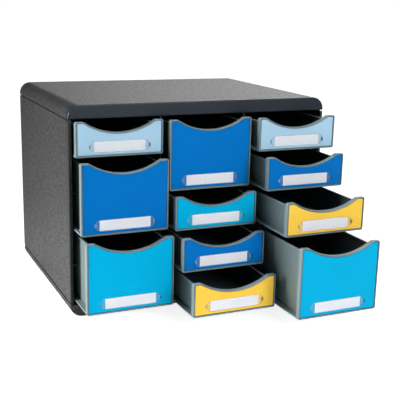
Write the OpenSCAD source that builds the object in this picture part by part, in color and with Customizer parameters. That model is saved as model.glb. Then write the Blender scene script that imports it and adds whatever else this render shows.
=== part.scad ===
// Desktop cabinet with three columns of small drawers on moulded rails.
// Millimetres. +X is right, +Y is back, +Z is up; the drawers open towards -Y.
// The origin is the centre of the cabinet's footprint, on the surface that it stands on.
// The cabinet's front edge is at y = -case_d / 2, and each drawer is pulled out by its own pull_N.

/* [Cabinet] */
// Overall width, across the covers
case_w = 355; // [335:1:380]
// Overall depth of the cabinet
case_d = 270; // [255:1:300]
// Overall height, from the surface to the top cover
case_h = 270; // [255:1:300]
// Height of the top and base covers
cover_h = 17.2; // [16.5:0.1:20]
// Radius of the covers' long edges
cover_r = 15.5; // [10:0.5:16]
// Wall of the covers
cover_wall = 2.5; // [2:0.1:2.8]
// Ribs of the channels inside the covers
rib_t = 1.6; // [1.2:0.1:2]
// Depth of the channels that the panels stand in
channel_h = 3.2; // [2.5:0.1:4]
// How far the covers stand out past the side panels
reveal = 0.2; // [0.1:0.1:1.2]
// Shadow gap between the covers and the panels
seam = 1.6; // [0.5:0.1:2]
// Clearance between pieces that slot together
fit_gap = 0.2; // [0.1:0.05:0.3]

/* [Panels] */
// Thickness of the side panels
side_t = 4.1; // [3.2:0.1:4.5]
// Thickness of the back panel
back_t = 2.5; // [2:0.1:3.5]
// Thickness of the two partitions
partition_t = 2.2; // [1.6:0.1:3]
// How far the partitions' front edges stand back
partition_inset = 0.8; // [0:0.1:2]
// Radius of the side panels' front corners
panel_edge_r = 1.2; // [0.5:0.1:1.5]

/* [Rails and stops] */
// How far a rail stands out from its wall
rail_w = 6.5; // [5.5:0.1:7]
// Thickness of a rail
rail_t = 2.4; // [1.6:0.1:2.4]
// How far the rails start behind the cabinet's front edge
rail_inset = 8; // [7.5:0.5:20]
// Running clearance between a drawer and its rails and stops
run_gap = 0.3; // [0.2:0.05:0.5]
// Thickness of the stops and of the drawers' ears
stop_t = 2.4; // [1.6:0.1:3]
// How far a front stop stands out from its wall
stop_w = 5; // [4:0.1:6]
// Height of the stops' and ears' tops above the bottom of a drawer
stop_h = 8; // [5:0.5:12]
// Space between a drawer's runners and the front stops above them
stop_clear = 1.2; // [0.5:0.1:1.2]
// How far a drawer can be pulled out
travel = 200; // [165:1:210]

/* [Feet] */
// Diameter of an anti-slip foot
foot_d = 14; // [8:1:20]
// How far a foot stands below the base cover
foot_h = 1.5; // [0.5:0.1:3]
// Depth of a foot's seat in the base cover
foot_seat = 0.6; // [0.3:0.1:1]
// Distance of a foot's centre from the cabinet's sides, front and back
foot_inset = 28; // [26:1:60]

/* [Drawers] */
// Clearance at each side of a drawer front
side_gap = 1.1; // [0.6:0.1:2]
// Gap between two drawer fronts, one above the other
row_gap = 3.2; // [3.2:0.1:5]
// Gap between the top drawers and the top cover
top_gap = 1.8; // [1.5:0.1:4]
// Gap between the bottom drawers and the base cover
bottom_gap = 4.4; // [3.5:0.1:7]
// Free space between the closed drawers and the back panel
back_space = 12; // [8:0.5:40]
// Depth of a drawer front's rim
rim_d = 6.4; // [5:0.1:7]
// Wall of the rim at the sides and the bottom
rim_t = 2; // [1.5:0.1:2.2]
// Wall of the rim along the top edge
rim_top_t = 1.2; // [1:0.1:1.6]
// Thickness of the front wall behind the insert
front_t = 2; // [1.5:0.1:2.4]
// Width of the finger scoop at the top edge
scoop_w = 90; // [70:1:92]
// Depth of the finger scoop
scoop_depth = 13.7; // [8:0.1:15]
// Radius where the scoop meets the top edge
shoulder_r = 6; // [2.5:0.5:8]
// Distance from a front's side edge to the drawer's side wall
wall_inset = 7.3; // [7:0.1:9]
// Thickness of a drawer's walls
wall_t = 1.8; // [1.4:0.1:2.4]
// Thickness of a drawer's floor and runners
floor_t = 2.2; // [1.8:0.1:2.6]
// Distance from a front's side edge to the runner's edge
runner_inset = 0.8; // [0.5:0.1:1.2]
// Distance from a front's side edge to the lip's edge
lip_inset = 6.5; // [5:0.1:6.8]
// Thickness of the lip along the top of a side wall
lip_t = 1.4; // [1.2:0.1:2.2]
// How far the lip lies below the top of the front
lip_drop = 5.8; // [3:0.1:8]
// Distance from a front's side edge to the end of an ear
ear_inset = 2; // [1.5:0.1:2.4]

/* [Inserts and labels] */
// Thickness of a coloured front insert
insert_t = 1.6; // [1.4:0.1:2]
// How far an insert lies behind the rim's front edge
insert_recess = 0.4; // [0.2:0.1:0.8]
// Groove between the rim and an insert
groove = 0.8; // [0.3:0.1:1]
// Width of the clear label window
window_w = 76; // [70:0.5:84]
// Height of the clear label window
window_h = 13.8; // [12.7:0.1:15]
// Thickness of the label window
window_t = 0.7; // [0.5:0.1:0.8]
// Height of the label's centre above the bottom of a front
label_z = 12.4; // [12:0.1:16]
// Free length of the window at each end of the label card
card_margin = 5.35; // [5.3:0.05:9]
// Free height of the window above and below the label card
card_gap = 0.3; // [0.3:0.1:1]
// Thickness of a label card
card_t = 0.3; // [0.2:0.05:0.4]
// Width of the slot that each end of a window clips into
clip_w = 2.6; // [2:0.1:3]
// Height of the slot
clip_h = 4.4; // [2:0.1:5]

/* [Drawers pulled out] */
// Left column, top drawer
pull_1 = 12.9; // [0:0.1:165]
// Left column, middle drawer
pull_2 = 33.6; // [0:0.1:165]
// Left column, bottom drawer
pull_3 = 54.6; // [0:0.1:165]
// Middle column, top drawer
pull_4 = 25.1; // [0:0.1:165]
// Middle column, second drawer
pull_5 = 46; // [0:0.1:165]
// Middle column, third drawer
pull_6 = 71.5; // [0:0.1:165]
// Middle column, bottom drawer
pull_7 = 105.7; // [0:0.1:165]
// Right column, top drawer
pull_8 = 38.7; // [0:0.1:165]
// Right column, second drawer
pull_9 = 64.5; // [0:0.1:165]
// Right column, third drawer
pull_10 = 117.4; // [0:0.1:165]
// Right column, bottom drawer
pull_11 = 155.7; // [0:0.1:165]

/* [Hidden] */
$fn = 48;
// Overlap of cuts with the faces that they pass through
cut = 1;
// Steps in the arcs of a drawer front
shoulder_steps = 5;
scoop_steps = 24;
column_count = 3;
row_count = 5;

// Colours of the cabinet's covers and sides, of its inside, and of the feet
case_colour = "#4a4b4d";
inner_colour = "#2b2c2e";
foot_colour = "#1c1c1c";
// Colours of the drawers, their inserts, the label cards and the clear windows
tray_colour = "#7f9692";
pale = "#a9d2ea";
blue = "#0072c4";
cyan = "#00aee4";
yellow = "#fccf55";
card_colour = "#e6e2ec";
window_colour = "#dfeaf2";

// Each drawer: column from the left, lowest row from the bottom, rows taken, pull-out, insert colour.
DRAWERS = [
    [0, 4, 1, pull_1, pale],
    [0, 2, 2, pull_2, blue],
    [0, 0, 2, pull_3, cyan],
    [1, 3, 2, pull_4, blue],
    [1, 2, 1, pull_5, cyan],
    [1, 1, 1, pull_6, blue],
    [1, 0, 1, pull_7, yellow],
    [2, 4, 1, pull_8, pale],
    [2, 3, 1, pull_9, blue],
    [2, 2, 1, pull_10, yellow],
    [2, 0, 2, pull_11, cyan]
];

// Heights of the covers' open edges, and of the channels' floors, which the panels stand on
base_edge_z = foot_h + cover_h;
top_edge_z = case_h - cover_h;
channel_bottom_z = base_edge_z - channel_h;
channel_top_z = top_edge_z + channel_h;

// Faces of the side panels, measured from the middle of the cabinet
panel_out_x = case_w / 2 - reveal;
panel_in_x = panel_out_x - side_t;
tongue_out_x = case_w / 2 - cover_wall - fit_gap;

// Along the depth: the cabinet's ends, the panels' tongues and the back panel
front_y = -case_d / 2;
back_y = case_d / 2;
tongue_front_y = front_y + cover_wall + fit_gap;
tongue_back_y = back_y - cover_wall - fit_gap;
back_panel_y = tongue_back_y - back_t;

// Columns and rows
opening_w = (2 * panel_in_x - (column_count - 1) * partition_t) / column_count;
column_pitch = opening_w + partition_t;
front_w = opening_w - 2 * side_gap;
row_pitch = (top_edge_z - base_edge_z - top_gap - bottom_gap + row_gap) / row_count;
first_row_z = base_edge_z + bottom_gap;

// Drawers
tray_l = back_panel_y - front_y - back_space;
pocket_y = insert_recess + insert_t;
front_back_y = pocket_y + front_t;
insert_side = rim_t + groove;
insert_top = rim_top_t + groove;
card_w = window_w - 2 * card_margin;
card_h = window_h - 2 * card_gap;
scoop_r = (scoop_w * scoop_w / 4 + scoop_depth * scoop_depth) / (2 * scoop_depth);

// Stops: the front ones catch a drawer's ears at full travel, the rear ones when it is closed
ear_y = tray_l - stop_t;
front_stop_y = front_y - travel + ear_y - run_gap;
rear_stop_y = front_y + tray_l + run_gap;

function column_x(column) = (column - (column_count - 1) / 2) * column_pitch;
function row_z(row) = first_row_z + row * row_pitch;
function front_h(units) = units * row_pitch - row_gap;

// ---- Helpers ----

// Extrudes a flat shape drawn in X and Z along +Y, from y over a length.
module along_y(y, length) {
    translate([0, y + length, 0])
        rotate([90, 0, 0])
            linear_extrude(length)
                children();
}

// Box from one corner to the opposite one.
module span(low, high) {
    translate(low)
        cube(high - low);
}

module both_sides() {
    children();
    mirror([1, 0, 0])
        children();
}

// Obround lying along X, centred.
module obround(w, h) {
    square([w - h, h], center = true);
    for (side = [-1, 1])
        translate([side * (w - h) / 2, 0])
            circle(h / 2);
}

// ---- Covers ----

// End view of a cover: open edge at z = 0, rounded long edges at the top.
module cover_outline(inset, low) {
    half = case_w / 2;
    intersection() {
        union() {
            translate([inset - half, low])
                square([2 * (half - inset), cover_h - cover_r - low]);
            translate([cover_r - half, low])
                square([2 * (half - cover_r), cover_h - inset - low]);
            for (side = [-1, 1])
                translate([side * (half - cover_r), cover_h - cover_r])
                    circle(cover_r - inset, $fn = 96);
        }
        translate([-half, low])
            square([2 * half, cover_h - low]);
    }
}

// Bars inside a cover that the channels are cut into: one per side panel, partition and the back.
module channel_bars() {
    bar = fit_gap + rib_t;
    both_sides()
        span([panel_in_x - bar, front_y, -2 * cut], [case_w / 2, back_y, cover_h]);
    for (side = [-1, 1])
        translate([side * column_pitch / 2, 0, 0])
            span([-partition_t / 2 - bar, front_y, -2 * cut], [partition_t / 2 + bar, back_y, cover_h]);
    span([-case_w / 2, back_panel_y - bar, -2 * cut], [case_w / 2, back_y, cover_h]);
}

module channels() {
    both_sides()
        span([panel_in_x - fit_gap, tongue_front_y - fit_gap, -cut],
             [tongue_out_x + fit_gap, tongue_back_y + fit_gap, channel_h]);
    for (side = [-1, 1])
        translate([side * column_pitch / 2, 0, 0])
            span([-partition_t / 2 - fit_gap, tongue_front_y - fit_gap, -cut],
                 [partition_t / 2 + fit_gap, back_panel_y, channel_h]);
    span([-panel_in_x, back_panel_y - fit_gap, -cut],
         [panel_in_x, tongue_back_y + fit_gap, channel_h]);
}

// Moulded shell, open side down, with the channels that hold the panels.
module cover() {
    difference() {
        along_y(front_y, case_d)
            cover_outline(0, 0);
        difference() {
            along_y(front_y + cover_wall, case_d - 2 * cover_wall)
                cover_outline(cover_wall, -cut);
            channel_bars();
        }
        channels();
    }
}

module top_cover() {
    color(case_colour)
        translate([0, 0, top_edge_z])
            cover();
}

module at_feet() {
    for (x = [-1, 1], y = [-1, 1])
        translate([x * (case_w / 2 - foot_inset), y * (case_d / 2 - foot_inset), 0])
            children();
}

module base_cover() {
    color(case_colour)
        difference() {
            translate([0, 0, base_edge_z])
                mirror([0, 0, 1])
                    cover();
            at_feet()
                translate([0, 0, foot_h - cut])
                    cylinder(h = foot_seat + cut, d = foot_d + 2 * fit_gap);
        }
}

module feet() {
    color(foot_colour)
        at_feet()
            cylinder(h = foot_h + foot_seat, d = foot_d);
}

// ---- Panels ----

// Rails and stops of every row on a wall whose face is at x = 0, standing out towards +X.
module wall_rails() {
    for (row = [0:row_count - 1])
        translate([0, 0, row_z(row)]) {
            span([0, front_y + rail_inset, -run_gap - rail_t], [rail_w, rear_stop_y + stop_t, -run_gap]);
            span([0, rear_stop_y, -run_gap], [rail_w, rear_stop_y + stop_t, stop_h]);
            span([0, front_stop_y - stop_t, floor_t + stop_clear], [stop_w, front_stop_y, stop_h]);
        }
}

// Right-hand side panel: plate with a rounded front corner, tongue, rails and a rib for the back panel.
module side_panel() {
    translate([0, 0, base_edge_z + seam])
        linear_extrude(top_edge_z - base_edge_z - 2 * seam) {
            translate([panel_in_x, front_y + panel_edge_r])
                square([side_t, case_d - panel_edge_r]);
            translate([panel_in_x, front_y])
                square([side_t - panel_edge_r, 2 * panel_edge_r]);
            translate([panel_out_x - panel_edge_r, front_y + panel_edge_r])
                circle(panel_edge_r);
        }
    span([panel_in_x, tongue_front_y, channel_bottom_z], [tongue_out_x, tongue_back_y, channel_top_z]);
    span([panel_in_x - rail_w, back_panel_y - fit_gap - rib_t, base_edge_z + seam],
         [panel_in_x, back_panel_y - fit_gap, top_edge_z - seam]);
    translate([panel_in_x, 0, 0])
        mirror([1, 0, 0])
            wall_rails();
}

module right_side_panel() {
    color(case_colour)
        side_panel();
}

module left_side_panel() {
    color(case_colour)
        mirror([1, 0, 0])
            side_panel();
}

module back_panel() {
    half = panel_in_x - fit_gap;
    color(inner_colour)
        span([-half, back_panel_y, channel_bottom_z], [half, tongue_back_y, channel_top_z]);
}

// Partition between two columns, with rails on both faces.
module partition() {
    half = partition_t / 2;
    back = back_panel_y - fit_gap;
    span([-half, front_y + partition_inset, base_edge_z + seam], [half, back, top_edge_z - seam]);
    span([-half, tongue_front_y, channel_bottom_z], [half, back, channel_top_z]);
    both_sides()
        translate([half, 0, 0])
            wall_rails();
}

module left_partition() {
    color(inner_colour)
        translate([-column_pitch / 2, 0, 0])
            partition();
}

module right_partition() {
    color(inner_colour)
        translate([column_pitch / 2, 0, 0])
            partition();
}

// ---- Drawers ----

// Points along an arc, without its last one.
function arc_points(centre, r, from, to, steps) = [
    for (i = [0:steps - 1])
        let (angle = from + (to - from) * i / steps)
        centre + r * [cos(angle), sin(angle)]
];

// Outline of a drawer front with its finger scoop, drawn in by the given margins.
// The scoop's arc and the two shoulder arcs keep their centres, so every outline runs parallel.
function front_points(h, side, top, bottom) =
    let (
        half = front_w / 2 - side,
        scoop_z = h - scoop_depth + scoop_r,
        shoulder_z = h - shoulder_r,
        rise = scoop_z - shoulder_z,
        reach = scoop_r + shoulder_r,
        shoulder_x = sqrt(reach * reach - rise * rise),
        tangent = acos(shoulder_x / reach)
    )
    concat(
        [[-half, bottom], [half, bottom], [half, h - top]],
        arc_points([shoulder_x, shoulder_z], shoulder_r - top, 90, 180 - tangent, shoulder_steps),
        arc_points([0, scoop_z], scoop_r + top, -tangent, tangent - 180, scoop_steps),
        arc_points([-shoulder_x, shoulder_z], shoulder_r - top, tangent, 90, shoulder_steps),
        [[-shoulder_x, h - top], [-half, h - top]]
    );

module front_outline(h, side, top, bottom) {
    polygon(front_points(h, side, top, bottom));
}

// Places a piece of drawer n: its front's bottom edge is at z = 0 and its front plane at y = 0.
module at_drawer(n) {
    drawer = DRAWERS[n - 1];
    translate([column_x(drawer[0]), front_y - drawer[3], row_z(drawer[1])])
        children();
}

// Slots at the ends of the label window, which its clips pass through.
module clip_slots() {
    for (side = [-1, 1])
        translate([side * window_w / 2, label_z])
            square([clip_w, clip_h], center = true);
}

// Moulded drawer: rimmed front, floor with runners, walls with lips, and ears at the rear.
module tray(n) {
    h = front_h(DRAWERS[n - 1][2]);
    wall_x = front_w / 2 - wall_inset;
    runner_x = front_w / 2 - runner_inset;
    lip_z = h - lip_drop;
    color(tray_colour)
        at_drawer(n) {
            difference() {
                along_y(0, rim_d)
                    front_outline(h, 0, 0, 0);
                along_y(-cut, cut + pocket_y)
                    front_outline(h, rim_t, rim_top_t, rim_t);
                along_y(front_back_y, rim_d)
                    front_outline(h, rim_t, rim_top_t, rim_t);
                along_y(-cut, 2 * rim_d)
                    clip_slots();
            }
            span([-runner_x, front_back_y, 0], [runner_x, tray_l, floor_t]);
            both_sides() {
                span([wall_x - wall_t, front_back_y, 0], [wall_x, tray_l, lip_z]);
                span([wall_x - wall_t, front_back_y, lip_z - lip_t], [front_w / 2 - lip_inset, tray_l, lip_z]);
                span([wall_x - wall_t, ear_y, 0], [front_w / 2 - ear_inset, tray_l, stop_h]);
            }
            span([-wall_x, tray_l - wall_t, 0], [wall_x, tray_l, lip_z]);
        }
}

// Coloured insert in the rim, with a recess for the label card and its window.
module front_insert(n) {
    h = front_h(DRAWERS[n - 1][2]);
    color(DRAWERS[n - 1][4])
        at_drawer(n)
            difference() {
                along_y(insert_recess, insert_t)
                    front_outline(h, insert_side, insert_top, insert_side);
                along_y(insert_recess - cut, cut + card_t + window_t)
                    translate([0, label_z])
                        obround(window_w + 2 * fit_gap, window_h + 2 * fit_gap);
                along_y(0, rim_d)
                    clip_slots();
            }
}

module label_card(n) {
    card_y = insert_recess + window_t;
    color(card_colour)
        at_drawer(n)
            span([-card_w / 2, card_y, label_z - card_h / 2], [card_w / 2, card_y + card_t, label_z + card_h / 2]);
}

// Clear window over the card, with a clip through the slot at each end.
module label_window(n) {
    color(window_colour, 0.4)
        at_drawer(n) {
            along_y(insert_recess, window_t)
                translate([0, label_z])
                    obround(window_w, window_h);
            both_sides()
                span([(window_w - clip_w) / 2 + fit_gap, insert_recess, label_z - clip_h / 2 + fit_gap],
                     [window_w / 2, front_back_y, label_z + clip_h / 2 - fit_gap]);
        }
}

top_cover();
base_cover();
left_side_panel();
right_side_panel();
back_panel();
left_partition();
right_partition();
feet();
for (n = [1:len(DRAWERS)]) {
    tray(n);
    front_insert(n);
    label_card(n);
    label_window(n);
}
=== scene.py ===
"""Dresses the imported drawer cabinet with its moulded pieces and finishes, and sets a studio around it.

Lengths inside the mesh functions are millimetres; each finished piece is scaled to metres at the end.
"""

import math
from functools import cache
from types import SimpleNamespace

import bmesh
import bpy
from bpy.props import FloatProperty, FloatVectorProperty, PointerProperty
from mathutils import Matrix, Vector


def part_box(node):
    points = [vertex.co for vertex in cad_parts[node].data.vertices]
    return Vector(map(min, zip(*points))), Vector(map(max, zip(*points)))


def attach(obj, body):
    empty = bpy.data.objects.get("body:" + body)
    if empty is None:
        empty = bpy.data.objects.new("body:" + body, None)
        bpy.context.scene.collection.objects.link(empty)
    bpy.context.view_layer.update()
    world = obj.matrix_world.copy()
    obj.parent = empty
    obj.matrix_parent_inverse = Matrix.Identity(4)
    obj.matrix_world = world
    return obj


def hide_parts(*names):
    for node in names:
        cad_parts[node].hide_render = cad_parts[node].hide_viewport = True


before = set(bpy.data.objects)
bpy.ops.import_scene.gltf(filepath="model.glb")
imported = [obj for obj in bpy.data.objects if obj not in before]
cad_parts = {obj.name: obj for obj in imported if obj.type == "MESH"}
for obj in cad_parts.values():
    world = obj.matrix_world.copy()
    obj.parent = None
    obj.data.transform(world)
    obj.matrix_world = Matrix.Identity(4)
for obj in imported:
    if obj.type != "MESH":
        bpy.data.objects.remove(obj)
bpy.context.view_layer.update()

bl_info = {
    "name": "Drawer cabinet",
    "version": (1, 0, 0),
    "blender": (4, 5, 0),
    "location": "3D View > Sidebar > Cabinet",
    "description": "Builds a desktop drawer cabinet, its finishes and a studio stage",
    "category": "Object",
}

MM = 0.001
HALF_TURN = math.pi
QUARTER_TURN = math.pi / 2

# Steps in the arcs of the moulded shapes
COVER_STEPS = 16
CORNER_STEPS = 4
SHOULDER_STEPS = 6
SCOOP_STEPS = 36
OBROUND_STEPS = 10
WALL_STEPS = 5
FILLET_STEPS = 3
FINE_STEPS = 2
FOOT_SIDES = 48

# Millimetres: places within CLOSE are the same, HAIR keeps two faces out of one plane, and SINK and EMBED are
# how far a part of a moulding reaches into the next one
CLOSE = 0.01
HAIR = 0.05
SINK = 0.3
EMBED = 0.5

# Millimetres: roundness of ribs, rails and clips, how far the ribs stay behind a cover's mouth, and the air
# between a window and the card behind it
RIB_FILLET = 0.2
RAIL_FILLET = 0.3
CLIP_FILLET = 0.1
RIB_SETBACK = 0.3
WINDOW_AIR = 0.08

# Shares: of a wall, that ribs reach into; of an end fillet, that comes off the wall round a cover's mouth
IN_WALL = 0.8
MOUTH_SHARE = 0.4

# Cosines over which a face looks straight along an axis, nearly so, and slightly so
STRAIGHT, NEARLY, SLIGHTLY = 0.99, 0.9, 0.1

# Angles between faces over which an edge is shaded sharp, is a square one, and is bent at all
SHARP_ANGLE, SQUARE_ANGLE, BENT_ANGLE = math.radians(38), math.radians(60), math.radians(20)

# Places in a piece's list of finishes: the main one, and then those of covers, of side panels, of the back
# panel, of drawer mouldings and of label windows
MAIN = 0
BAND = 1
INNER, BORDER = 1, 2
OUTSIDE = 1
# The dark finish inside a drawer is painted shade: the same plastic as outside, coloured darker
WALL, SHADED_INSIDE = 1, 2
# The pale finish of the window clips and edges is a painted highlight
CLIP_HIGHLIGHT, EDGE_HIGHLIGHT = 1, 2

# Lumps to a metre in the slow clouds of colour on plastic
CLOUD_SCALE = 18.0

# Metres: half a side of the floor, and the distances between which its glow rises to full white
FLOOR_REACH = 40.0
GLOW_NEAR, GLOW_FAR = 0.35, 1.1

# What glossy faces see of the world: where its bright side lies, the cosine at which that side ends, and the
# levels beyond it and at its middle
BRIGHT_SIDE = (0.62, 0.75, 0.22)
BRIGHT_EDGE = 0.84
DARK_LEVEL, BRIGHT_LEVEL = 0.03, 1.95

SENSOR_WIDTH = 36.0
WHITE = (1, 1, 1, 1)

DRAWER_COUNT = 11
ROW_COUNT = 5
INSERT_FINISH = {1: "pale", 2: "blue", 3: "cyan", 4: "blue", 5: "cyan", 6: "blue",
                 7: "yellow", 8: "pale", 9: "blue", 10: "yellow", 11: "cyan"}
# How much the grain and the slow clouds vary the colour of each kind of insert
INSERT_MOTTLE = {"pale": (0.012, 0.02), "blue": (0.02, 0.03), "cyan": (0.015, 0.03), "yellow": (0.012, 0.02)}


# ---- Properties ----

def length(name, description, millimetres):
    """A length that the user can change; the default is given in millimetres."""
    return FloatProperty(
        name=name, description=description, default=millimetres * MM, min=0.0, precision=5, unit="LENGTH")


def colour(name, description, red, green, blue):
    """A linear colour that the user can change."""
    return FloatVectorProperty(
        name=name, description=description, default=(red, green, blue),
        min=0.0, max=1.0, size=3, subtype="COLOR")


def angle(name, description, degrees):
    """An angle that the user can change; the default is given in degrees."""
    return FloatProperty(name=name, description=description, default=math.radians(degrees), subtype="ANGLE")


def amount(name, description, default, highest=10.0):
    """The strength of a light or a glow that the user can change."""
    return FloatProperty(name=name, description=description, default=default, min=0.0, max=highest)


class CabinetSizes(bpy.types.PropertyGroup):
    """Sizes of the covers, panels, rails and feet."""

    cover_radius: length("Cover radius", "Radius of the covers' long edges", 15.5)
    cover_wall: length("Cover wall", "Wall of the covers", 2.5)
    cover_fillet: length("Cover fillet", "Roundness of the covers' front and back outlines", 1.5)
    cover_border: length("Cover border", "Width of the smooth border along the top cover's front", 11.0)
    rib: length("Rib", "Thickness of the ribs inside the covers", 1.6)
    channel: length("Channel", "Depth of the channels that the panels stand in", 3.2)
    seam: length("Seam", "Shadow gap between a cover and the panels", 1.6)
    reveal: length("Reveal", "How far the covers stand out past the side panels", 0.2)
    clearance: length("Clearance", "Clearance between pieces that slot together", 0.2)
    side_panel: length("Side panel", "Thickness of the side panels", 4.1)
    panel_edge: length("Panel edge", "Radius of the side panels' front edges", 1.2)
    panel_border: length("Panel border", "Width of the smooth border along a side panel's front edge", 9.0)
    panel_fillet: length("Panel fillet", "Roundness of the other edges of the panels", 0.35)
    partition: length("Partition", "Thickness of the partitions", 2.2)
    partition_fillet: length("Partition fillet", "Roundness of a partition's edges", 0.5)
    partition_inset: length("Partition inset", "How far the partitions' fronts stand back", 0.8)
    back_field: length("Back field", "Height of the raised frame on the back panel", 0.5)
    back_frame: length("Back frame", "Width of the raised frame on the back panel", 14.0)
    rail_width: length("Rail width", "How far a rail stands out from its wall", 6.5)
    rail: length("Rail", "Thickness of a rail", 2.4)
    rail_inset: length("Rail inset", "How far the rails start behind the front", 8.0)
    running_gap: length("Running gap", "Clearance between a drawer, its rails and stops", 0.3)
    stop: length("Stop", "Thickness of a stop", 2.4)
    stop_width: length("Stop width", "How far a front stop stands out from its wall", 5.0)
    stop_height: length("Stop height", "Height of the stops above a drawer's bottom", 8.0)
    stop_clearance: length("Stop clearance", "Space between the runners and a front stop", 1.2)
    travel: length("Travel", "How far a drawer can be pulled out", 200.0)
    foot_diameter: length("Foot", "Diameter of a foot", 14.0)
    foot_rim: length("Foot rim", "Width of the raised ring under a foot", 1.4)
    foot_hollow: length("Foot hollow", "Depth of the hollow under a foot", 0.3)
    foot_fillet: length("Foot fillet", "Roundness of a foot's upper and lower edge", 0.5)


class DrawerSizes(bpy.types.PropertyGroup):
    """Sizes of the drawers, their inserts and labels."""

    rim_depth: length("Rim depth", "Depth of the rim round a front", 6.4)
    rim: length("Rim", "Wall of the rim at the sides and the bottom", 2.0)
    rim_top: length("Rim top", "Wall of the rim along the top edge", 1.2)
    rim_fillet: length("Rim fillet", "Roundness of the rim's outer edge", 0.9)
    rim_rear_fillet: length("Rim rear fillet", "Roundness of the rim's rear edge", 0.54)
    rim_bevel: length("Rim bevel", "Bevel round the rim's inner edge at the rear", 0.2)
    rim_inner_fillet: length("Inner fillet", "Roundness of the rim's inner edge", 0.15)
    rim_corner: length("Rim corner", "Radius of a front's corners", 2.2)
    pocket_corner: length("Pocket corner", "Radius of the corners of the pocket for the insert", 0.5)
    insert_corner: length("Insert corner", "Radius of an insert's corners", 0.6)
    front_wall: length("Front wall", "Thickness of the wall behind the insert", 2.0)
    scoop_width: length("Scoop width", "Width of the finger scoop", 90.0)
    scoop_depth: length("Scoop depth", "Depth of the finger scoop", 13.7)
    shoulder: length("Shoulder", "Radius where the scoop meets the top edge", 6.0)
    wall_inset: length("Wall inset", "From a front's side edge to the side wall", 7.3)
    wall: length("Wall", "Thickness of the walls", 1.8)
    wall_corner: length("Wall corner", "Outer radius where the walls and the floor meet", 3.4)
    floor: length("Floor", "Thickness of the floor and the runners", 2.2)
    runner_inset: length("Runner inset", "From a front's side edge to the runner's edge", 0.8)
    lip_inset: length("Lip inset", "From a front's side edge to the lip's edge", 6.5)
    lip: length("Lip", "Thickness of the lip on a side wall", 1.4)
    lip_drop: length("Lip drop", "How far the lip lies below the top of the front", 5.8)
    ear_inset: length("Ear inset", "From a front's side edge to the end of an ear", 2.0)
    ear: length("Ear", "Thickness of an ear", 2.4)
    ear_height: length("Ear height", "Height of an ear", 8.0)
    edge_fillet: length("Edge fillet", "Roundness of lips, runners and ears", 0.4)
    insert: length("Insert", "Thickness of an insert", 1.6)
    insert_recess: length("Insert recess", "How far an insert lies behind the rim", 0.4)
    insert_fillet: length("Insert fillet", "Roundness of an insert's front edge", 0.15)
    groove: length("Groove", "Gap between the rim and the insert", 0.8)
    window_width: length("Window width", "Width of the label window", 76.0)
    window_height: length("Window height", "Height of the label window", 13.8)
    window: length("Window", "Thickness of the label window", 0.7)
    window_fillet: length("Window fillet", "Roundness of the window's front edge", 0.35)
    window_gap: length("Window gap", "Clearance round the window in its recess", 0.2)
    label_height: length("Label height", "Height of the label's centre above a front's bottom", 12.4)
    card: length("Card", "Thickness of a label card", 0.3)
    card_corner: length("Card corner", "Radius of a card's corners", 0.5)
    clip_width: length("Clip width", "Width of the slot that a window clips into", 2.6)
    clip_height: length("Clip height", "Height of the slot", 4.4)
    recess_bevel: length("Recess bevel", "Bevel round the recess for the window", 0.15)
    clip_slope: length("Clip slope", "How far the slope of a clip runs back", 2.0)


class CabinetColours(bpy.types.PropertyGroup):
    """Colours of the finishes."""

    case: colour("Case", "Grained plastic of the covers and side panels", 0.025, 0.025, 0.0245)
    band: colour("Band", "Smooth ends of the covers", 0.014, 0.021, 0.032)
    border: colour("Border", "Smooth borders of the side panels", 0.0185, 0.0205, 0.0225)
    inner: colour("Inside", "Partitions, rails and back panel", 0.014, 0.016, 0.018)
    foot: colour("Feet", "Rubber of the feet", 0.018, 0.018, 0.019)
    tray: colour("Tray", "Smooth rim, lips and runners of the drawers", 0.165, 0.230, 0.245)
    tray_wall: colour("Tray wall", "Grained outer walls of the drawers", 0.122, 0.163, 0.160)
    # Painted shade: the inside of a drawer is coloured darker than the same plastic outside, standing in for
    # the shade there
    tray_inside: colour("Tray inside", "Dark inner faces of the drawers", 0.036, 0.052, 0.060)
    pale: colour("Pale blue", "Pale blue inserts", 0.40, 0.62, 0.78)
    blue: colour("Blue", "Blue inserts", 0.002, 0.162, 0.52)
    cyan: colour("Cyan", "Cyan inserts", 0.001, 0.41, 0.70)
    yellow: colour("Yellow", "Yellow inserts", 0.95, 0.60, 0.075)
    card: colour("Card", "Label cards", 0.88, 0.88, 0.92)
    window: colour("Window", "Tint of the label windows", 0.50, 0.57, 0.62)
    # Painted highlight: the clips and window edges are clear plastic coloured pale, standing in for the light
    # that they catch
    clip: colour("Clip", "Edges and clips of the windows, which gather light", 0.70, 0.80, 0.86)


class StageSettings(bpy.types.PropertyGroup):
    """Camera and light."""

    camera_place: FloatVectorProperty(
        name="Camera place", description="Where the camera stands", default=(-0.42709, -1.07392, 0.39729),
        size=3, subtype="TRANSLATION")
    camera_azimuth: angle("Azimuth", "Turn of the camera about the vertical", -24.324)
    camera_elevation: angle("Elevation", "How far the camera looks down", 13.981)
    camera_roll: angle("Roll", "Roll of the camera", 1.376)
    lens: FloatProperty(
        name="Lens", description="Focal length in millimetres on a 36 mm sensor", default=73.180, min=1.0)
    key_level: amount("Side light", "Level of the light from the left", 0.295)
    front_level: amount("Front light", "Level of the light from the front", 0.73)
    top_level: amount("Top light", "Level of the light from above", 0.5)
    ambient_level: amount("Ambient", "Level of the light from all round", 0.07)
    floor_glow: amount("Floor glow", "Share of the floor's white that no shadow darkens", 0.84, highest=1.0)


def in_millimetres(group):
    """The lengths of a property group as plain numbers, in millimetres."""
    keys = [key for key in group.bl_rna.properties.keys() if key not in ("name", "rna_type")]
    return SimpleNamespace(**{key: getattr(group, key) / MM for key in keys})


def cabinet_sizes():
    """Sizes of the covers, panels, rails and feet, in millimetres."""
    return in_millimetres(bpy.context.scene.cabinet_sizes)


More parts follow.
